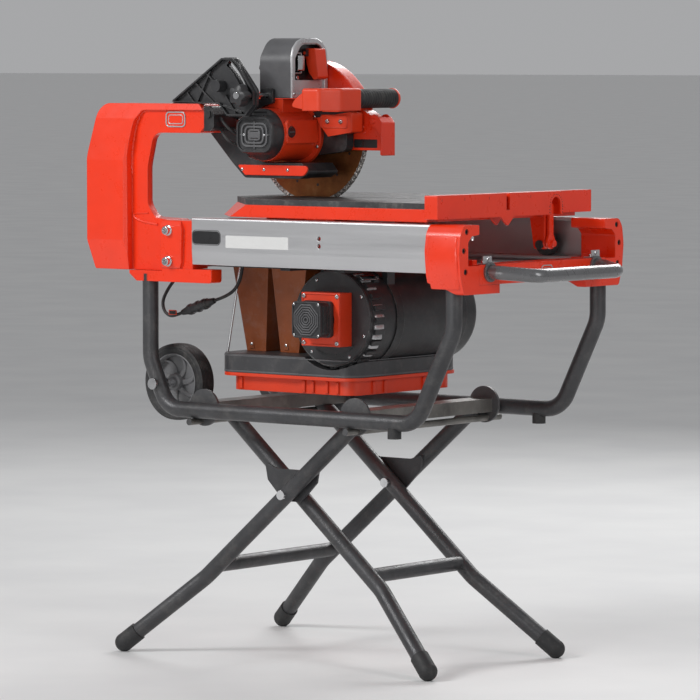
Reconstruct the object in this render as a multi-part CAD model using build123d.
"""Masonry saw with a 254 mm blade on a folding X stand, millimetres, +Z up, +X towards the operator."""
from build123d import *
from math import cos, pi, radians, sin, tan
import os

# Overall places. Working X is counted from the stand's pivot; the row origin is under the box centre.
REAR_X = -416.0
FRONT_X = 525.0
ORIGIN_X = (REAR_X + FRONT_X) / 2
FIT = 0.05  # radial clearance of pins and shafts in their holes
GAP = 0.4  # clearance between pieces that move past each other

# Folding stand
TUBE_R = 14.3
TUBE_WALL = 2.0
PIVOT_Z = 300.0
LEG_SLOPE = 0.855  # rise per unit of X
OUTER_LEG_Y = 165.0
INNER_LEG_Y = 132.0
OUTER_FOOT_Y = 225.0
INNER_FOOT_Y = 187.0
FOOT_X = 331.0
FOOT_R = 17.0
FOOT_Z = 16.4  # the ball's underside is worn to a small flat
KNEE_X = 187.0
CROSS_TUBE_X = 160.0
CROSS_TUBE_R = 13.0
CROSSBAR_X0, CROSSBAR_X1 = 146.0, 190.0
CROSSBAR_Z0, CROSSBAR_Z1 = 434.0, 458.0
GUIDE_DISC_R = 33.0
GUIDE_DISC_Y0, GUIDE_DISC_Y1 = 184.0, 189.0
REST_BAR_X, REST_BAR_R = 178.0, 6.0
PIVOT_BOLT_R = 5.0

# Saw base
BASE_TUBE_Y = 210.0
BASE_TUBE_Z = 443.4
REAR_TUBE_X, FRONT_TUBE_X = -279.0, 404.0
WHEEL_X, WHEEL_Z, WHEEL_R = -259.0, 487.5, 69.5
WHEEL_Y0, WHEEL_Y1 = 136.0, 173.0
AXLE_R = 6.0
RAIL_Y0, RAIL_Y1 = 190.0, 223.5
RAIL_Z0, RAIL_Z1 = 703.5, 787.0
RAIL_X0, RAIL_X1 = -170.0, 364.0
RAIL_WEB_Y = 217.5
TRACK_Z = 718.0
ACCESSORY_X, ACCESSORY_Z, ACCESSORY_PITCH, ACCESSORY_R = 120.0, 750.0, 13.0, 4.0
CASTING_X1 = 438.0
HANDLE_R = 12.0
HANDLE_Z = 700.0
HANDLE_END_Y, HANDLE_END_Z = 155.0, 706.0
CASTING_SCREWS = ((219, 776), (227, 744), (222, 708))  # Y and Z
COLUMN_SCREW_X, COLUMN_SCREW_Z = -222.0, (763, 708)

# Arm and cutting head
ARM_Y0, ARM_YM, ARM_Y1 = -227.0, -199.0, -150.0
ARM_WEB_Y = ARM_Y0 + 18
PLUNGE_X, PLUNGE_Z = -175.0, 962.0
PLUNGE_R = 8.0
BLADE_X, BLADE_Z, BLADE_R = -55.0, 934.0, 127.0
BLADE_Y, BLADE_T = -25.0, 2.4
ARBOR_R = 7.95
BEARING_R = 15.0
GUARD_R = 133.0
GUARD_Y0, GUARD_Y1 = -40.0, -10.0
MOTOR_R = 47.0
MOTOR_Y0, MOTOR_Y1 = -160.0, -62.0
BRUSH_Y = -146.0
GRIP_X, GRIP_Z, GRIP_R = 83.0, 997.5, 17.0
PADDLE_X, PADDLE_Z = -16.0, 1078.0
ROCKER_X, ROCKER_Y, ROCKER_Z = -26.0, -113.0, 1060.0
SLOT_R = 123.0
KNOB_ANGLE = 19.0
LIMIT_KNOB_R, LIMIT_KNOB_ANGLE = 81.0, 45.5
PLUNGE_TRAVEL = 32.0  # degrees
QUADRANT_Y0, QUADRANT_Y1 = -200.0, -194.0

# Table and fence
TABLE_X0, TABLE_X1 = -168.0, 350.0
TABLE_Y = 215.0
TABLE_Z0, TABLE_Z1 = 812.0, 822.0
KERF_W = 8.0
ROLLER_R = 19.5
ROLLER_Z = TRACK_Z + ROLLER_R + 0.3
REAR_ROLLER_X, FRONT_ROLLER_X = -8.0, 300.0
FENCE_X0, FENCE_X1 = 353.0, 381.0
LEVER_Y, LEVER_Z = 116.0, 744.0
CARRIER_Y0, CARRIER_Y1 = 179.2, 183.2

# Dust collection
DRUM_X, DRUM_Z, DRUM_R = 85.0, 613.0, 86.0
DRUM_Y0, DRUM_Y1 = -134.0, 172.0
DECK_Z = 703.4
CHUTES = ((-180, -96, -158, -114), (-90, -8, -80, -38))  # X from and to, at the deck and then at the lid
CHUTE_Y = -60.0
STRAP_Y = ((-70, -50), (112, 132))
LID_X0, LID_X1, LID_Y0, LID_Y1, LID_Z0, LID_Z1 = -177.0, 135.0, -150.0, 166.0, 510.0, 544.0
TRAY_Z0 = 478.0
LATCH_ANGLE, LATCH_PIN_Y = 52.0, -92.0
CABLE_R = 3.0

PARTS = {}


def box(x0, x1, y0, y1, z0, z1):
    return Pos((x0 + x1) / 2, (y0 + y1) / 2, (z0 + z1) / 2) * Box(abs(x1 - x0), abs(y1 - y0), abs(z1 - z0))


def along_y(x, z, y0, y1, r):
    return Pos(x, (y0 + y1) / 2, z) * Rot(90, 0, 0) * Cylinder(r, abs(y1 - y0))


def along_x(y, z, x0, x1, r):
    return Pos((x0 + x1) / 2, y, z) * Rot(0, 90, 0) * Cylinder(r, abs(x1 - x0))


def along_z(x, y, z0, z1, r):
    return Pos(x, y, (z0 + z1) / 2) * Cylinder(r, abs(z1 - z0))


def on_arbor(y0, y1, r):
    return along_y(BLADE_X, BLADE_Z, y0, y1, r)


def on_drum(y0, y1, r):
    return along_y(DRUM_X, DRUM_Z, y0, y1, r)


def on_axle(y0, y1, r):
    return along_y(WHEEL_X, WHEEL_Z, y0, y1, r)


def rod(start, end, r):
    a, b = Vector(*start), Vector(*end)
    return Solid.make_cylinder(r, (b - a).length, Plane(origin=a, z_dir=(b - a)))


def outline(points):
    """A polygon whose points may carry a third number, the radius of that corner."""
    face = Sketch() + Polygon(*[p[:2] for p in points])
    for x, y, r in [p for p in points if len(p) == 3]:
        corner = min(face.vertices(), key=lambda v: (v.X - x) ** 2 + (v.Y - y) ** 2)
        face = fillet(corner, r)
    return face


def plate_xz(points, y0, y1):
    return extrude(Plane.XZ.offset(-y1) * outline(points), amount=y1 - y0, dir=(0, -1, 0))


def plate_yz(points, x0, x1):
    return extrude(Plane.YZ.offset(x0) * outline(points), amount=x1 - x0, dir=(1, 0, 0))


def plate_xy(points, z0, z1):
    return extrude(Pos(0, 0, z0) * outline(points), amount=z1 - z0, dir=(0, 0, 1))


def tube(points, radii, r, wall=None):
    path = FilletPolyline(*points, radius=radii) if radii else Line(*points)
    plane = Plane(origin=path @ 0, z_dir=path % 0)
    solid = sweep(plane * Circle(r), path=path)
    return solid - sweep(plane * Circle(r - wall), path=path) if wall else solid


def mirror_y(shape):
    return mirror(shape, about=Plane.XZ)


def both_sides(shape):
    return [shape, mirror_y(shape)]


def save(name, *shapes):
    solids = [s for shape in shapes for s in (shape.solids() if hasattr(shape, "solids") else [shape])]
    moved = [Pos(-ORIGIN_X, 0, 0) * s for s in solids]
    PARTS[name] = moved[0] if len(moved) == 1 else Compound(children=moved)


# ---------------------------------------------------------------- folding stand
def leg_z(x):
    return PIVOT_Z + LEG_SLOPE * x


def stand_frame(side, leg_y, foot_y):
    """Two bent legs and their cross tube; side is +1 when the frame's top leans to +X."""
    top_x = 172.0
    parts, feet = [], []
    for s in (-1, 1):
        foot = Vector(-side * FOOT_X, s * foot_y, FOOT_Z)
        knee = Vector(-side * KNEE_X, s * leg_y, leg_z(-KNEE_X))
        top = Vector(side * top_x, s * leg_y, leg_z(top_x))
        down = (knee - foot).normalized()
        start = foot + down * 10
        solid = tube([start, knee, top], [60.0], TUBE_R, TUBE_WALL)
        solid -= box(-250, 250, -260, 260, CROSSBAR_Z0 - 0.1, 520)
        solid -= along_y(0, PIVOT_Z, -260, 260, PIVOT_BOLT_R + FIT)
        parts.append(solid)
        foot_solid = Pos(*foot) * Sphere(FOOT_R) + rod(foot, foot + down * 34, TUBE_R + 2.4)
        foot_solid -= rod(start, start + down * 80, TUBE_R)
        feet.append(foot_solid - box(-400, 400, -300, 300, -10, 0))
    x = -side * CROSS_TUBE_X
    cross = along_y(x, leg_z(-CROSS_TUBE_X), -leg_y, leg_y, CROSS_TUBE_R)
    cross -= along_y(x, leg_z(-CROSS_TUBE_X), -leg_y - 1, leg_y + 1, CROSS_TUBE_R - TUBE_WALL)
    for s in (-1, 1):
        a = (-side * (KNEE_X + 8), s * leg_y, leg_z(-KNEE_X - 8))
        b = (0, s * leg_y, PIVOT_Z)
        cross -= rod(a, b, TUBE_R)
    middle = max(cross.solids(), key=lambda c: c.volume)
    return parts + [middle], feet


def crossbar(side):
    x0, x1 = sorted((side * CROSSBAR_X0, side * CROSSBAR_X1))
    bar = box(x0, x1, -GUIDE_DISC_Y0, GUIDE_DISC_Y0, CROSSBAR_Z0, CROSSBAR_Z1)
    bar -= box(x0 + 2.5, x1 - 2.5, -GUIDE_DISC_Y0, GUIDE_DISC_Y0, CROSSBAR_Z0 + 2.5, CROSSBAR_Z1 - 2.5)
    rest_z = BASE_TUBE_Z - TUBE_R - REST_BAR_R - 0.3
    rest_x = side * REST_BAR_X
    disc_x = side * 172.0
    discs = []
    for s in (-1, 1):
        disc = along_y(disc_x, 447.0, s * GUIDE_DISC_Y0, s * GUIDE_DISC_Y1, GUIDE_DISC_R)
        discs.append(disc - along_y(rest_x, rest_z, -200, 200, REST_BAR_R))
    return [bar, along_y(rest_x, rest_z, -223, 223, REST_BAR_R)] + discs


def build_stand():
    legs, feet = stand_frame(1, OUTER_LEG_Y, OUTER_FOOT_Y)
    edge = [
        (-62, 352, 4), (-34, 343, 20), (34, 343, 20), (62, 352, 4),
        (56, 322, 6), (20, 286, 12), (-20, 286, 12), (-56, 322, 6),
    ]
    saddle = plate_xz(edge, INNER_LEG_Y + TUBE_R + GAP, OUTER_LEG_Y - TUBE_R)
    saddle -= along_y(0, PIVOT_Z, 100, 200, PIVOT_BOLT_R)
    save("stand_outer_legs", *legs, *both_sides(saddle))
    save("stand_front_crossbar", *crossbar(1))
    save("stand_outer_feet", *feet)
    bolt = along_y(0, PIVOT_Z, INNER_LEG_Y - TUBE_R - 6.3, OUTER_LEG_Y + TUBE_R, PIVOT_BOLT_R)
    head = along_y(0, PIVOT_Z, OUTER_LEG_Y + TUBE_R, OUTER_LEG_Y + TUBE_R + 5, 8.5)
    nut = along_y(0, PIVOT_Z, INNER_LEG_Y - TUBE_R - 6.3, INNER_LEG_Y - TUBE_R - 0.3, 8.5)
    save("stand_pivot_bolts", *both_sides(bolt + head + nut))
    legs, feet = stand_frame(-1, INNER_LEG_Y, INNER_FOOT_Y)
    save("stand_inner_legs", *legs)
    save("stand_rear_crossbar", *crossbar(-1))
    save("stand_inner_feet", *feet)


# ---------------------------------------------------------------- saw base
def base_tube_path(y):
    return [
        (REAR_TUBE_X, y, 684.0),
        (REAR_TUBE_X, y, 532.0),
        (-238.5, y, BASE_TUBE_Z),
        (324.0, y, BASE_TUBE_Z),
        (FRONT_TUBE_X, y, 607.0),
        (FRONT_TUBE_X, y, 712.0),
    ]


def build_base():
    solid = tube(base_tube_path(BASE_TUBE_Y), [60.0, 45.0, 50.0, 60.0], TUBE_R, TUBE_WALL)
    solid -= on_axle(150, 250, AXLE_R)
    save("base_tubes", *both_sides(solid))
    pad = along_z(276, BASE_TUBE_Y, BASE_TUBE_Z - TUBE_R - 13, BASE_TUBE_Z - TUBE_R + 6, 12)
    pad -= along_x(BASE_TUBE_Y, BASE_TUBE_Z, 240, 310, TUBE_R)
    save("base_pads", *both_sides(pad))
    axle = on_axle(WHEEL_Y0 - 8, BASE_TUBE_Y + TUBE_R, AXLE_R)
    head = on_axle(BASE_TUBE_Y + TUBE_R, BASE_TUBE_Y + TUBE_R + 6, 10)
    washer = on_axle(WHEEL_Y0 - 8, WHEEL_Y0 - 0.5, 10)
    collar = on_axle(WHEEL_Y1 + 0.5, BASE_TUBE_Y - TUBE_R - 1, 9)
    save("wheel_axles", *both_sides(axle + head + washer + collar))
    save("left_wheel", *wheel(-1))
    save("right_wheel", *wheel(1))


def wheel(side):
    """A rubber tyre on a moulded hub with spokes on both faces; side is the sign of Y."""
    y0, y1 = sorted((side * WHEEL_Y0, side * WHEEL_Y1))
    rim_r, hub_r = 52.0, 15.0
    tyre = on_axle(y0, y1, WHEEL_R)
    tyre = fillet(tyre.edges(), 9.0) - on_axle(y0, y1, rim_r)
    hub = on_axle(y0 + 3, y1 - 3, rim_r) - on_axle(y0, y1, rim_r - 5)
    hub += on_axle(y0, y1, hub_r)
    hub += on_axle((y0 + y1) / 2 - 2.5, (y0 + y1) / 2 + 2.5, rim_r - 4.9)
    spokes = 7
    centre = Pos(WHEEL_X, (y0 + y1) / 2, WHEEL_Z)
    for i in range(spokes):
        hub += centre * Rot(0, 360 / spokes * i, 0) * Pos(31, 0, 0) * Box(38, 12, 6)
    hub -= on_axle(y0 - 1, y1 + 1, AXLE_R + FIT)
    return tyre, hub


def build_rails():
    profile = [
        (196, RAIL_Z0), (221.5, RAIL_Z0, 1), (RAIL_Y1, 727), (RAIL_Y1, RAIL_Z1, 4), (RAIL_Y0, RAIL_Z1),
        (RAIL_Y0, RAIL_Z1 - 5.5), (RAIL_WEB_Y, RAIL_Z1 - 5.5), (RAIL_WEB_Y, TRACK_Z), (RAIL_Y0, TRACK_Z),
        (RAIL_Y0, TRACK_Z - 5), (RAIL_WEB_Y, TRACK_Z - 5), (RAIL_WEB_Y, RAIL_Z0 + 4.5), (196, RAIL_Z0 + 4.5),
    ]
    rail = plate_yz(profile, RAIL_X0, RAIL_X1)
    for dz in (-ACCESSORY_PITCH / 2, ACCESSORY_PITCH / 2):
        rail -= along_y(ACCESSORY_X, ACCESSORY_Z + dz, 210, 230, ACCESSORY_R)
    save("side_rails", *both_sides(rail))


def build_front():
    # C-shaped corner castings close the rails' front ends and carry the base tubes.
    profile = [
        (184, 669, 3), (226, 669, 6), (236, 700, 30), (240.5, 742, 60), (236, 772, 20), (226, RAIL_Z1, 12),
        (184, RAIL_Z1, 3), (184, 770, 3), (205, 768, 6), (215, 758, 6), (215, TRACK_Z - 0.3, 2),
        (184, TRACK_Z - 0.3, 2),
    ]
    casting = plate_yz(profile, RAIL_X1, CASTING_X1)
    casting += box(396, CASTING_X1, 126, 185, 669, 684.5)
    below = [(350, 640), (350, 690), (RAIL_X1, 688), (403, 677), (420, 669), (470, 669), (470, 640)]
    casting -= plate_xz(below, 60, 260)
    casting -= along_z(FRONT_TUBE_X, BASE_TUBE_Y, 600, 712, TUBE_R)
    for y, z in CASTING_SCREWS:
        casting -= along_x(y, z, CASTING_X1 - 5, CASTING_X1, 5)
    save("front_castings", *both_sides(casting))
    panel = box(CASTING_X1 - 14, CASTING_X1, -184, 184, 684.6, 719)
    panel -= box(CASTING_X1 - 11, CASTING_X1 - 3, -178, 178, 684, 716)
    shelf = box(CASTING_X1 - 40, CASTING_X1 - 14, -184, 184, 715, 719)
    ends = [box(CASTING_X1 - 40, CASTING_X1 - 14, s * 172, s * 184, 719, 727) for s in (-1, 1)]
    beam = panel + shelf + ends[0] + ends[1]
    y, z = HANDLE_END_Y, HANDLE_END_Z
    beam -= along_x(y, z, CASTING_X1 - 20, CASTING_X1, 6) + along_x(-y, z, CASTING_X1 - 20, CASTING_X1, 6)
    save("front_beam", beam)
    out = FRONT_X - HANDLE_R
    half = [(CASTING_X1 + 2.2, y, z), (CASTING_X1 + 22, y - 3, z - 1), (out, 118, HANDLE_Z)]
    points = [(px, -py, pz) for px, py, pz in half] + half[::-1]
    bar = tube(points, [25.0, 28.0, 28.0, 25.0], HANDLE_R, 2.5)
    collar = along_x(y, z, CASTING_X1, CASTING_X1 + 4, HANDLE_R + 5)
    collar -= along_x(y, z, CASTING_X1, CASTING_X1 + 8, HANDLE_R + 0.4)
    stud = along_x(y, z, CASTING_X1 - 20, CASTING_X1, 6)
    save("front_handle", bar, *both_sides(collar), *both_sides(stud))


def build_rear():
    # Bolted bosses at both rails' rear ends, joined by a cross beam, with the base tubes' sockets below.
    def side(s):
        edge = [(180, 695), (226, 695, 4), (228, 720), (228, 772), (222, 781, 5), (180, 781)]
        boss = plate_yz(edge, -239.6, RAIL_X0)
        step = [(-200, 690), (-192, 705, 12), (-190, 768, 12), (-200, 790), (-150, 790), (-150, 690)]
        boss -= plate_xz(step, 221.5, 240)
        boss -= box(RAIL_X0 - 14, RAIL_X0 + 1, 192, RAIL_WEB_Y, TRACK_Z - 0.3, 770)
        socket = [
            (-317, 684), (-300, 671, 3), (-124, 671, 6), (-124, 695),
            (-239.6, 695), (-239.6, 689.8), (-317, 689.8),
        ]
        bracket = plate_xz(socket, 196, 224)
        bracket -= along_z(REAR_TUBE_X, BASE_TUBE_Y, 600, 684, TUBE_R)
        body = boss + bracket
        if s > 0:
            body += plate_xz([(-300, 694.8), (-239, 694.8), (-239, 781), (-300, 781, 12)], 180, 228)
            return body
        return mirror_y(body)

    beam = box(-300, -239.6, ARM_Y1 + 0.1, 181, 700, 775)
    beam -= box(-294, -245, ARM_Y1 + 6, 174, 706, 769)
    tie = box(-239.7, -214, -181, 181, 695, 703)
    casting = side(-1) + side(1) + beam + tie
    for z in COLUMN_SCREW_Z:
        casting -= along_y(COLUMN_SCREW_X, z, -232, -205, 4)
    save("rear_casting", casting)
    deck = box(-192, 12, -196, 196, 700.2, DECK_Z)
    for s in (-1, 1):
        deck -= box(-193, -150, s * 180, s * 197, 700, 704)
    for x0, x1, _, _ in CHUTES:
        deck -= box(x0, x1, CHUTE_Y - 40, CHUTE_Y + 40, 699, 704)
    save("deck_plate", deck)


# ---------------------------------------------------------------- arm
def arm_half(y0, y1, recess, wall_y0, wall_y1):
    """Half of the C-shaped arm, hollow from wall_y0 to wall_y1; its throat is set back by the recess."""
    edge = [
        (-402, 690, 4), (REAR_X, 741, 25), (REAR_X, 894, 60), (-395, 988, 28), (-163, 988, 10),
        (-151, 976, 8),
        (-151, 948, 8), (-163, 936, 6), (-271 - recess, 936, 22), (-286 - recess, 875, 60),
        (-286 - recess, 808, 25), (-268 - recess, 784, 20), (-240, 781.2, 2), (-240, 690),
    ]
    hollow = [
        (-398, 700, 4), (-408, 745, 20), (-408, 890, 50), (-389, 980, 22), (-206, 980), (-206, 944),
        (-280 - recess, 944, 20), (-295 - recess, 875, 50), (-295 - recess, 800, 20),
        (-278 - recess, 776, 10),
        (-248, 773), (-248, 699),
    ]
    return plate_xz(edge, y0, y1) - plate_xz(hollow, wall_y0, wall_y1)


def build_arm():
    near = arm_half(ARM_Y0, ARM_YM, 0, ARM_WEB_Y + 5, ARM_YM)
    # The spine stands proud of a recessed web, and its face leans in at the top and the bottom.
    web = [
        (-322, 680), (-323.5, 896, 60), (-311, 955, 30), (-294, 976, 12), (-120, 977), (-120, 926),
        (-236, 926),
        (-236, 680),
    ]
    near -= plate_xz(web, ARM_Y0 - 1, ARM_WEB_Y)
    lean = [
        (ARM_Y0 - 2, 680), (ARM_Y0 + 9, 680), (ARM_Y0, 743), (ARM_Y0, 886),
        (ARM_Y0 + 8, 961), (ARM_Y0 + 16, 990), (ARM_Y0 - 2, 990),
    ]
    near -= plate_yz(lean, -420, -140)
    bevel = [
        (-420, ARM_Y0 - 1), (-329, ARM_Y0 - 1), (-329, ARM_Y0), (-324, ARM_Y0 + 4), (-300, ARM_Y0 + 4),
        (-300, ARM_Y0 - 2), (-420, ARM_Y0 - 2),
    ]
    near -= plate_xy(bevel, 680, 975)
    near -= along_y(PLUNGE_X, PLUNGE_Z, ARM_YM - 5, ARM_YM + 1, PLUNGE_R)
    save("arm_cover", near)
    far = arm_half(ARM_YM, ARM_Y1, 40, ARM_YM, ARM_Y1 - 7)
    far -= box(-206, -140, ARM_YM - 1, ARM_Y1 - 6, 941, 983)
    far -= along_y(PLUNGE_X, PLUNGE_Z, ARM_YM - 1, ARM_Y1 + 1, PLUNGE_R)
    save("arm_core", far)
    knuckle = box(-205.5, -152, ARM_YM + 0.2, ARM_Y1 - 6.2, 941.3, 982.6)
    end_edge = [(-150.8, 940), (-150.8, 984), (-138, 984, 8), (-128, 968, 8), (-128, 946, 6), (-138, 940, 4)]
    nose = plate_xz(end_edge, -212, ARM_Y1)
    knuckle -= along_y(PLUNGE_X, PLUNGE_Z, ARM_YM - 1, ARM_Y1 + 1, PLUNGE_R)
    nose -= along_y(-140, 970, -213, -200, 4)
    cap = along_y(-140, 970, -216, -200, 4) + along_y(-140, 970, -216, -212, 7)
    pin = along_y(PLUNGE_X, PLUNGE_Z, ARM_YM - 4.8, -117.5, PLUNGE_R)
    nut = along_y(PLUNGE_X, PLUNGE_Z, -124.5, -117.5, 14)
    save("pivot_knuckle", knuckle, nose, cap, pin + nut)


def build_quadrant():
    cx, cz = PLUNGE_X, PLUNGE_Z

    def at(r, a):
        return cx + r * cos(radians(a)), cz + r * sin(radians(a))

    plate = plate_xz(
        [(-234, 988.3), (-229, 996, 3), (-114, 1070, 6), (-86, 1070, 14), (-38, 1012, 14), (-40, 985, 10),
         (-60, 966, 8), (-104, 966, 4), (-122, 985), (-126, 988.3)],
        QUADRANT_Y0, QUADRANT_Y1,
    )
    slot_w = 9.0
    y0, y1 = QUADRANT_Y0 - 10, QUADRANT_Y1 + 2
    ring = along_y(cx, cz, y0, y1, SLOT_R + slot_w / 2) - along_y(cx, cz, y0, y1, SLOT_R - slot_w / 2)
    low, high = KNOB_ANGLE - 0.5, KNOB_ANGLE + PLUNGE_TRAVEL + 0.5
    ring &= plate_xz([(cx, cz), at(180, low), at(190, (low + high) / 2), at(180, high)], y0 - 1, y1 + 1)
    for a in (low, high):
        x, z = at(SLOT_R, a)
        ring += along_y(x, z, y0, y1, slot_w / 2)
    plate -= ring
    ribs = [
        plate_xz([(-226, 992), (-115, 1066.5), (-100, 1066.5), (-100, 1069), (-115, 1069), (-229, 994)],
                 QUADRANT_Y0 - 7, QUADRANT_Y0),
        plate_xz([(-176, 989), (-173, 989), (-141, 1046), (-144, 1046)], QUADRANT_Y0 - 5, QUADRANT_Y0),
        plate_xz([(-130, 989), (-127, 989), (-70, 975), (-70, 971)], QUADRANT_Y0 - 5, QUADRANT_Y0),
    ]
    knob_x, knob_z = at(LIMIT_KNOB_R, LIMIT_KNOB_ANGLE)
    solid = plate + ribs[0] + ribs[1] + ribs[2]
    solid -= along_y(knob_x, knob_z, -230, -180, 4 + FIT)
    solid -= along_y(knob_x, knob_z, -230, QUADRANT_Y0, 11 + GAP)
    save("quadrant_plate", solid)
    y0, y1 = QUADRANT_Y0, QUADRANT_Y1
    stop = along_y(knob_x, knob_z, y0 - 20, y0 - 0.4, 11) + along_y(knob_x, knob_z, y0 - 1, y1 + 1, 4)
    stop += along_y(knob_x, knob_z, y1 + 0.4, y1 + 3, 7)
    save("limit_knob", stop)
    x, z = at(SLOT_R, KNOB_ANGLE)
    knob = along_y(x, z, y0 - 34, y0 - 10, 16)
    for i in range(5):
        a = radians(72 * i + 20)
        knob += along_y(x + 15 * cos(a), z + 15 * sin(a), y0 - 34, y0 - 12, 6.5)
    knob += along_y(x, z, y0 - 11, y0 - 0.4, 8.4) + along_y(x, z, y0 - 1, -143.2, 4)
    save("lock_knob", knob)
    return x, z


# ---------------------------------------------------------------- cutting head
def build_head(stud_x, stud_z):
    px, pz = PLUNGE_X, PLUNGE_Z
    beam_y0 = ARM_Y1 + GAP
    beam = plate_xz(
        [(px - 22, pz + 18, 12), (px + 12, pz + 22, 14), (-128, 940, 30), (-100, 893, 12), (-60, 884, 10),
         (22, 884, 4), (40, 868, 6), (18, 857, 6), (-108, 857, 12), (-138, 884, 12), (px - 22, 944, 14)],
        beam_y0, -125,
    )
    beam += plate_xz([(-132, 884), (-112, 858, 6), (18, 858, 6), (36, 868, 4), (22, 884)], -125, -64)
    corners = ((-14, -14), (14, -14), (14, 14), (-14, 14))
    beam += plate_xz([(stud_x + dx, stud_z + dz, 6) for dx, dz in corners], beam_y0, -143)
    link = [(px + 5, pz - 18), (stud_x + 10, stud_z - 12), (stud_x + 10, stud_z), (px + 5, pz + 16)]
    beam += plate_xz(link, beam_y0, -143)
    beam -= along_y(px, pz, -160, -110, PLUNGE_R + FIT)
    beam -= on_arbor(-160, -50, MOTOR_R + 0.3)
    beam -= along_y(stud_x, stud_z, -160, -130, 4 + FIT)
    strip = plate_xz([(-124, 880, 2), (44, 880, 6), (28, 862, 10), (-106, 862, 2)], beam_y0 - 3, beam_y0)
    save("head_beam", beam, strip)

    housing = on_arbor(MOTOR_Y0, MOTOR_Y1, MOTOR_R)
    flange = on_arbor(-70, MOTOR_Y1, MOTOR_R + 9) & box(-200, 60, -80, -50, 884.2, 1020)
    housing += flange
    housing += box(BLADE_X - 26, BLADE_X + 26, -140, -70, BLADE_Z + 30, 996)
    housing -= on_arbor(MOTOR_Y0 - 1, MOTOR_Y1 + 1, MOTOR_R - 4)
    end_wall = on_arbor(-68, MOTOR_Y1, MOTOR_R - 3.9) - on_arbor(-70, -60, 13)
    bearings = []
    for y0 in (-148, -72):
        bearing = on_arbor(y0, y0 + 9, BEARING_R)
        bearings.append(bearing - on_arbor(y0, y0 + 9, ARBOR_R + FIT))
    spider = on_arbor(-149, -138, BEARING_R + 3)
    spider += box(BLADE_X - MOTOR_R + 3, BLADE_X + MOTOR_R - 3, -149, -142, BLADE_Z - 5, BLADE_Z + 5)
    spider -= on_arbor(-150, -130, BEARING_R)
    ring = on_arbor(-72.1, -63, BEARING_R + 4) - on_arbor(-73, -60, BEARING_R)
    housing += end_wall - on_arbor(-73, -60, 18.9)
    save("motor_housing", housing + spider + ring, *bearings)

    corners = ((-42, -33), (42, -33), (42, 33), (-42, 33))
    cap = plate_xz([(BLADE_X + dx, BLADE_Z + dz, 20) for dx, dz in corners], -190, -166)
    cap += on_arbor(-170, MOTOR_Y0 - 0.2, MOTOR_R - 1)
    cap -= on_arbor(-184, MOTOR_Y0 + 1, 28)
    cross = box(BLADE_X - 2.5, BLADE_X + 2.5, -192, -183, BLADE_Z - 50, BLADE_Z + 50)
    cross += box(BLADE_X - 50, BLADE_X + 50, -192, -183, BLADE_Z - 2.5, BLADE_Z + 2.5)
    for r in (12, 18, 24):
        groove = on_arbor(-191, -183, r + 1.5) - on_arbor(-191, -183, r - 1.5)
        cap -= groove - cross
    save("motor_cap", cap)

    case = on_arbor(MOTOR_Y1 + 0.2, -42, 46)
    case += plate_xz([(-20, 896, 6), (52, 905, 12), (52, 946, 12), (-20, 978, 6)], MOTOR_Y1 + 0.2, -42)
    case += plate_xz([(20, 930), (74, 938, 4), (74, 974, 4), (-20, 974, 4)], -74, -44)
    case -= on_arbor(-76, MOTOR_Y1 + 0.2, MOTOR_R + 9.3)
    case -= on_arbor(-62, -46, 38) + on_arbor(-63, -41, 17)
    save("gear_case", case)

    shaft = on_arbor(-149, -12.6, ARBOR_R)
    rotor = on_arbor(-134, -78, 26)
    fan = on_arbor(-59, -50, 34)
    save("arbor_rotor", shaft + rotor + fan)
    blade = on_arbor(BLADE_Y - BLADE_T / 2, BLADE_Y + BLADE_T / 2, BLADE_R - 8)
    blade -= on_arbor(-40, -10, ARBOR_R + FIT)
    for i in range(12):
        a = radians(30 * i + 8)
        blade -= along_y(BLADE_X + 92 * cos(a), BLADE_Z + 92 * sin(a), -40, -10, 2.5)
    rim = on_arbor(BLADE_Y - BLADE_T / 2 - 0.3, BLADE_Y + BLADE_T / 2 + 0.3, BLADE_R)
    rim -= on_arbor(-40, -10, BLADE_R - 8)
    save("saw_blade", blade, rim)
    flanges = []
    for y0, y1, r in ((-34, -26.2, 24), (-23.8, -16, 24), (-15.9, -12.4, 11)):
        flanges.append(on_arbor(y0, y1, r) - on_arbor(-40, -5, ARBOR_R + FIT))
    save("blade_flanges", *flanges)

    tip = 19.0
    arc_end = (BLADE_X + GUARD_R * cos(radians(tip)), BLADE_Z + GUARD_R * sin(radians(tip)))

    def guard_profile(inset, floor):
        r = GUARD_R - inset
        body = on_arbor(GUARD_Y0 + inset, GUARD_Y1 - inset, r)
        nose = [
            (BLADE_X, BLADE_Z), (BLADE_X, BLADE_Z + 90), (arc_end[0] - inset, arc_end[1] - inset * 0.7),
            (100 - inset, 962 - inset * 0.6), (113 - inset, 948 - inset * 0.5), (113 - inset, floor),
            (BLADE_X, floor),
        ]
        body += plate_xz(nose, GUARD_Y0 + inset, GUARD_Y1 - inset)
        return body - box(-250, 250, -60, 10, 700, floor)

    guard = guard_profile(0, 906) - guard_profile(2.0, 905)
    guard -= on_arbor(-45, -35, 30)
    save("blade_guard", guard)
    front = [(107, 961), (113.6, 953, 4), (113.6, 899), (117.2, 897), (117.2, 955, 5), (109, 965)]
    flap = plate_xz(front, -43.5, -6.5)
    cheek = [
        (90, 968, 4), (93, 948, 6), (104, 944), (113.6, 930), (116.5, 930), (116.5, 955),
        (108.5, 964.5), (100, 970, 4),
    ]
    for y0, y1, b0, b1 in ((-43.5, -40.4, -46.5, -43.5), (-9.6, -6.5, -6.5, -3.5)):
        flap += plate_xz(cheek, y0, y1) + along_y(97, 958, b0, b1, 5)
    save("guard_flap", flap)

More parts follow.
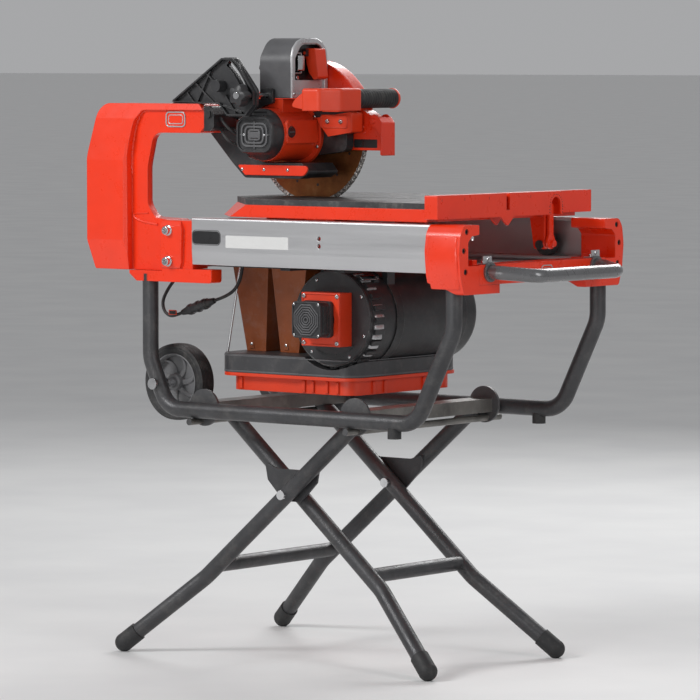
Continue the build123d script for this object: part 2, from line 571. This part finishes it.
    hx0, hx1 = GRIP_X - 20, GRIP_X + 20
    plan = [(40, -176, 6), (80, -176, 10), (hx1, -140, 20), (hx1, -81, 6), (hx0 - 2, -81, 4), (46, -120, 12)]
    bracket = plate_xy(plan, 977, 1016)
    bracket = fillet(bracket.edges().filter_by_position(Axis.Z, 1015.9, 1016.1), 5)
    bracket += plate_xz([(14, 984, 4), (42, 979), (42, 1010), (22, 996, 6)], -170, -150)
    bracket += box(20, 63, -90, -46, 974.2, 1004)
    save("handle_bracket", bracket)
    grip = along_y(GRIP_X, GRIP_Z, -80.8, 27, GRIP_R)
    ring = along_y(GRIP_X, GRIP_Z, 27.2, 33, GRIP_R + 1)
    ring = fillet(ring.edges().filter_by_position(Axis.Y, 32.9, 33.1), 4)
    save("handle_grip", grip, ring)

    # Switch box with an arched top on the motor's pedestal.
    arch = [
        (-142, 998, 3), (-42, 998, 3), (-42, 1070, 30), (-66, 1104, 36), (-118, 1104, 36), (-142, 1070, 30),
    ]
    shell = plate_yz(arch, -80, -10)
    recess = [
        (-132, 1030, 6), (-52, 1030, 6), (-52, 1076, 10), (-64, 1093, 10), (-112, 1093, 20), (-132, 1064, 14),
    ]
    shell -= plate_yz(recess, -22, -9)
    shell += along_x(-100, 1052, -100, -80, 9) + along_x(-100, 1052, -112, -100, 6)
    shell -= box(-72, -30, -126, -58, 1004, 1078)
    shell -= box(-31, -21, ROCKER_Y - 10, ROCKER_Y + 10, ROCKER_Z - 17, ROCKER_Z + 17)
    shell -= along_y(ROCKER_X, ROCKER_Z, ROCKER_Y - 12.5, ROCKER_Y + 12.5, 1.5 + FIT)
    shell += box(-24, -11, -96, -90.5, PADDLE_Z - 6, PADDLE_Z + 6)
    shell -= along_y(PADDLE_X, PADDLE_Z, -97, -48.5, 3 + FIT)
    save("switch_box", shell)
    profile = [(-20, 1086, 4), (3, 1086, 4), (10, 1034, 4), (0, 1030, 4), (-12, 1044), (-20, 1072, 4)]
    save("power_paddle", plate_xz(profile, -89, -61) + along_y(PADDLE_X, PADDLE_Z, -96, -49, 3))
    rocker = box(-28, -9, ROCKER_Y - 9, ROCKER_Y + 9, ROCKER_Z - 14, ROCKER_Z + 14)
    rocker = fillet(rocker.edges().filter_by(Axis.Y), 3)
    save("rocker_switch", rocker + along_y(ROCKER_X, ROCKER_Z, ROCKER_Y - 12, ROCKER_Y + 12, 1.5))


# ---------------------------------------------------------------- table
def build_table():
    corner = [
        (TABLE_X0, -100), (-52, -TABLE_Y), (TABLE_X1, -TABLE_Y), (TABLE_X1, TABLE_Y), (TABLE_X0, TABLE_Y),
    ]
    top = plate_xy(corner, TABLE_Z0, TABLE_Z1)
    kerf = box(TABLE_X0 - 1, 190, BLADE_Y - KERF_W / 2, BLADE_Y + KERF_W / 2, 780, 830)
    save("table_top", top - kerf)
    inner = [
        (TABLE_X0 + 10, -96), (-48, 10 - TABLE_Y), (TABLE_X1 - 10, 10 - TABLE_Y),
        (TABLE_X1 - 10, TABLE_Y - 10), (TABLE_X0 + 10, TABLE_Y - 10),
    ]
    # The cut corner's face slopes outwards to the frame's lower edge.
    skirt = 37.0
    lower = [
        (TABLE_X0, -100 - skirt), (-52 - skirt, -TABLE_Y), (TABLE_X1, -TABLE_Y), (TABLE_X1, TABLE_Y),
        (TABLE_X0, TABLE_Y),
    ]
    frame = loft(Sketch() + [Pos(0, 0, 790) * outline(lower), Pos(0, 0, TABLE_Z0 - 0.1) * outline(corner)])
    frame -= plate_xy(inner, 789, 806)
    lane = box(TABLE_X0 - 1, 190, BLADE_Y - 14, BLADE_Y + 14, 780, 830)
    frame -= lane
    carriers = []
    for x in (REAR_ROLLER_X, FRONT_ROLLER_X):
        for s in (-1, 1):
            y0, y1 = sorted((s * CARRIER_Y0, s * CARRIER_Y1))
            edge = [(x - 26, 806), (x - 14, ROLLER_Z - 8, 6), (x + 14, ROLLER_Z - 8, 6), (x + 26, 806)]
            plate = plate_xz(edge, y0, y1)
            plate += box(x - 26, x + 26, y0, y1, 800, 806)
            plate -= along_y(x, ROLLER_Z, -200, 200, 5 + FIT)
            carriers.append(plate)
    for c in carriers:
        frame += c
    save("table_frame", frame)
    for name, x in (("rear_rollers", REAR_ROLLER_X), ("front_rollers", FRONT_ROLLER_X)):
        roller = along_y(x, ROLLER_Z, 193, 209, ROLLER_R)
        roller += along_y(x, ROLLER_Z, CARRIER_Y0 - 1, 193, 5)
        roller += along_y(x, ROLLER_Z, CARRIER_Y0 - 5, CARRIER_Y0 - 0.4, 8)
        save(name, *both_sides(roller))
    fence_edge = [
        (-226, 795, 2), (-226, 836, 2), (136, 836, 2), (136, 795, 2), (-8, 795), (-26, 779, 3), (-46, 795),
    ]
    fence = plate_yz(fence_edge, FENCE_X0, FENCE_X1)
    fence -= box(FENCE_X0 - 1, FENCE_X1 + 1, BLADE_Y - 5, BLADE_Y + 5, 807, 840)
    fence -= box(FENCE_X0 + 4, FENCE_X1 - 4, -222, 132, 780, 829)
    fence -= box(FENCE_X0 + 8, FENCE_X1 + 1, LEVER_Y - 14, LEVER_Y + 14, 780, 812)
    fence -= along_x(LEVER_Y, 812, FENCE_X0 + 8, FENCE_X1 + 1, 14)
    fence += box(TABLE_X1 + 0.2, FENCE_X0, -200, 120, 800, 820)
    extension = box(FENCE_X0 + 2, FENCE_X0 + 16, 136.2, 238, 797, 836)
    extension = fillet(extension.edges().filter_by(Axis.X), 2)
    y, z = LEVER_Y, LEVER_Z
    hanger = plate_yz([(y - 8, 795), (y + 8, 795), (y + 8, z - 8, 8), (y - 8, z - 8, 8)], 358, 362)
    hanger -= along_x(y, z, 350, 380, 6 + FIT)
    save("fence", fence, extension, hanger)
    lever_edge = [
        (y - 6, 814, 5), (y + 6, 814, 5), (y + 6, z + 16, 4), (y + 14, z, 10), (y, z - 14, 10),
        (y - 14, z, 10), (y - 6, z + 16, 4),
    ]
    save("fence_lever", plate_yz(lever_edge, 366, 371) + along_x(y, z, 356, 378, 6))


# ---------------------------------------------------------------- dust collection
def build_dust():
    def funnel(x0, x1, low0, low1, inset_top, inset_low):
        top = Rectangle(x1 - x0 - inset_top, 80 - inset_top)
        low = Rectangle(low1 - low0 - inset_low, 50 - inset_low)
        top_place = Pos((x0 + x1) / 2, CHUTE_Y, DECK_Z - 0.4)
        low_place = Pos((low0 + low1) / 2, CHUTE_Y, LID_Z1 + 0.2)
        return loft(Sketch() + [top_place * top, low_place * low])

    save("dust_chutes", *[funnel(*ends, 0.4, 0) - funnel(*ends, 6, 5) for ends in CHUTES])

    shell = on_drum(DRUM_Y0, DRUM_Y1, DRUM_R)
    shell = fillet(shell.edges().filter_by_position(Axis.Y, DRUM_Y1 - 0.1, DRUM_Y1 + 0.1), 14)
    shell -= on_drum(DRUM_Y0 - 1, DRUM_Y1 - 5, DRUM_R - 3.5)
    a = radians(LATCH_ANGLE)

    def on_rim(r, y):
        return DRUM_X + r * cos(a), y, DRUM_Z + r * sin(a)

    seat = Pos(*on_rim(DRUM_R + 1.5, LATCH_PIN_Y - 2)) * Rot(0, -LATCH_ANGLE, 0) * Box(5, 14, 16)
    pin_hole = rod(on_rim(DRUM_R + 0.6, LATCH_PIN_Y), on_rim(DRUM_R + 6, LATCH_PIN_Y), 3 + FIT)
    save("drum_shell", shell + (seat - pin_hole))
    cover = on_drum(DRUM_Y0 - 8, DRUM_Y0 - 0.2, DRUM_R - 1)
    cover -= on_drum(-150, -130, 7)
    fins = 26
    for i in range(fins):
        fin = Pos(DRUM_X, -118, DRUM_Z) * Rot(0, 360 / fins * i, 0) * Pos(DRUM_R + 0.5, 0, 0) * Box(7, 26, 9)
        cover += fin - on_drum(-140, -90, DRUM_R)
    save("drum_end_cover", *cover.solids())
    flange = box(42, 128, -175, -142.2, 566, 660) - box(52, 118, -172, -142, 576, 650)
    flange = flange - on_drum(-180, -140, 30)
    save("vacuum_motor_flange", flange)
    cap = plate_xz([(50, 582, 6), (114, 582, 6), (114, 646, 6), (50, 646, 6)], -214, -175.2)
    cap -= along_y(DRUM_X - 3, DRUM_Z + 1, -208, -175, 27)
    for k in range(-3, 4):
        cap -= box(60, 104, -215, -207, DRUM_Z + 1 + 8 * k - 1.5, DRUM_Z + 1 + 8 * k + 1.5)
    save("vacuum_motor_cap", cap)
    impeller = on_drum(-205, -95, 5) + on_drum(-196, -160, 22)
    impeller += on_drum(-100, -96, 62)
    for i in range(8):
        impeller += Pos(DRUM_X, -111, DRUM_Z) * Rot(0, 45 * i, 0) * Pos(34, 0, 0) * Box(50, 22, 2.5)
    impeller += on_drum(-122, -99, 12)
    save("vacuum_impeller", impeller)
    filt = on_drum(-70, 150, 60) - on_drum(-71, 140, 40)
    save("vacuum_filter", filt)

    hangers = []
    for y0, y1 in STRAP_Y:
        strap = on_drum(y0, y1, DRUM_R + 2.6) - on_drum(y0, y1, DRUM_R + 0.1)
        for x0, x1 in ((19, 31), (139, 151)):
            strap += box(x0, x1, y0, y1, 660, 697) - on_drum(y0, y1, DRUM_R + 0.1)
        hangers.append(strap)
    for x0, x1 in ((14, 36), (134, 156)):
        hangers.append(box(x0, x1, -200, 200, 697.2, DECK_Z))
    for x, y, lean in ((-166, -130, 30), (-166, 130, 30), (-14, 130, 3)):
        hangers.append(rod((x, y, LID_Z1 + 0.2), (x + lean, y, 700.0), 2.2))
    save("vacuum_hangers", *hangers)
    latch = Pos(*on_rim(DRUM_R + 7.5, LATCH_PIN_Y - 18)) * Rot(0, -LATCH_ANGLE, 0) * Box(5, 48, 12)
    latch = fillet(latch.edges().filter_by(Axis.Y), 1.5)
    save("drum_latch", latch + rod(on_rim(DRUM_R + 1, LATCH_PIN_Y), on_rim(DRUM_R + 11.5, LATCH_PIN_Y), 3))

    lid = box(LID_X0, LID_X1, LID_Y0, LID_Y1, LID_Z0, LID_Z1)
    lid = fillet(lid.edges().filter_by(Axis.Z), 38)
    lid = fillet(lid.edges().filter_by_position(Axis.Z, LID_Z1 - 0.1, LID_Z1 + 0.1), 4)
    hollow = box(LID_X0 + 5, LID_X1 - 5, LID_Y0 + 5, LID_Y1 - 5, LID_Z0 - 1, LID_Z0 + 9.5)
    lid -= fillet(hollow.edges().filter_by(Axis.Z), 33)
    lid -= on_drum(-175, 180, DRUM_R + 4.6)
    for _, _, x0, x1 in CHUTES:
        lid -= box(x0 + 3, x1 - 3, CHUTE_Y - 22, CHUTE_Y + 22, LID_Z0, LID_Z1 + 1)
    save("dust_lid", lid)
    tray = box(LID_X0 + 22, LID_X1 - 8, LID_Y0 + 12, LID_Y1 - 12, TRAY_Z0, LID_Z0 - 0.5)
    tray = fillet(tray.edges().filter_by(Axis.Z), 28)
    lip = box(LID_X0 + 1, LID_X1 + 2, LID_Y0 - 1, LID_Y1 + 1, LID_Z0 - 6.5, LID_Z0 - 0.5)
    tray += fillet(lip.edges().filter_by(Axis.Z), 38)
    hollow = box(LID_X0 + 26, LID_X1 - 12, LID_Y0 + 16, LID_Y1 - 16, TRAY_Z0 + 4, LID_Z0 + 1)
    tray -= fillet(hollow.edges().filter_by(Axis.Z), 24)
    save("dust_tray", tray)


def corner_radii(points):
    """Each corner's radius is 0.45 of its shorter run, divided by the tangent of half the turn."""
    radii = []
    for a, b, c in zip(points, points[1:], points[2:]):
        into, out = Vector(*b) - Vector(*a), Vector(*c) - Vector(*b)
        radii.append(0.45 * min(into.length, out.length) / tan(radians(into.get_angle(out)) / 2))
    return radii


def build_harness():
    rear_end, front_end = Vector(-255, -150, 612), Vector(-180, -150, 636)
    along = (front_end - rear_end).normalized()
    body = rod(rear_end + along * 16, front_end - along * 16, 9.0)
    for end, sign in ((rear_end, 1), (front_end, -1)):
        base = Plane(origin=end, z_dir=along * sign)
        body += Solid.make_cone(5.0, 8.0, 16.5, base)
    save("harness_connector", body)
    rear_route = [
        (-270, -138, 699.2), (-277, -139, 676), (-296, -141, 655), (-309, -143, 632), (-305, -145, 615),
        (-292, -147, 605.5), (-276, -149, 604.5), tuple(rear_end),
    ]
    front_route = [
        tuple(front_end), (-156, -149, 643), (-134, -146, 657), (-122, -144, 680), (-120, -143, 699.3),
    ]
    for name, route in (("harness_rear_cable", rear_route), ("harness_front_cable", front_route)):
        radii = corner_radii(route)
        cable = tube(route, radii, CABLE_R)
        path = FilletPolyline(*route, radius=radii)
        ratio = cable.volume / (path.length * pi * CABLE_R**2)
        sizes = [round(r) for r in radii], round(path.length), round(ratio, 3)
        print(name, "corner radii, length, volume against a straight tube", *sizes)
        save(name, cable)


def build_screws():
    screws = []
    for z in COLUMN_SCREW_Z:
        head = along_y(COLUMN_SCREW_X, z, -234, -228, 7)
        screws.append(head + along_y(COLUMN_SCREW_X, z, -232, -205, 4))
    for y, z in CASTING_SCREWS:
        screws += both_sides(along_x(y, z, CASTING_X1 - 5, CASTING_X1 - 1.5, 4.2))
    save("frame_screws", *screws)
    x, z = BLADE_X, BLADE_Z + 6
    housing = on_arbor(BRUSH_Y - 20, BRUSH_Y + 20, MOTOR_R)
    front_cap = along_x(BRUSH_Y, z, x + MOTOR_R - 1, x + MOTOR_R + 3, 9) - housing
    rear_cap = along_x(BRUSH_Y, z, x - MOTOR_R - 3, x - MOTOR_R + 1, 9) - housing
    save("head_screws", front_cap, rear_cap, *[along_x(-50, z, 74, 77, 3.5) for z in (946, 966)])


build_stand()
build_base()
build_rails()
build_front()
build_rear()
build_arm()
knob_x, knob_z = build_quadrant()
build_head(knob_x, knob_z)
build_table()
build_dust()
build_harness()
build_screws()

os.makedirs("parts", exist_ok=True)
for old in os.listdir("parts"):
    os.remove(os.path.join("parts", old))
for name, shape in PARTS.items():
    export_step(shape, os.path.join("parts", name + ".step"))
print(len(PARTS), "nodes")
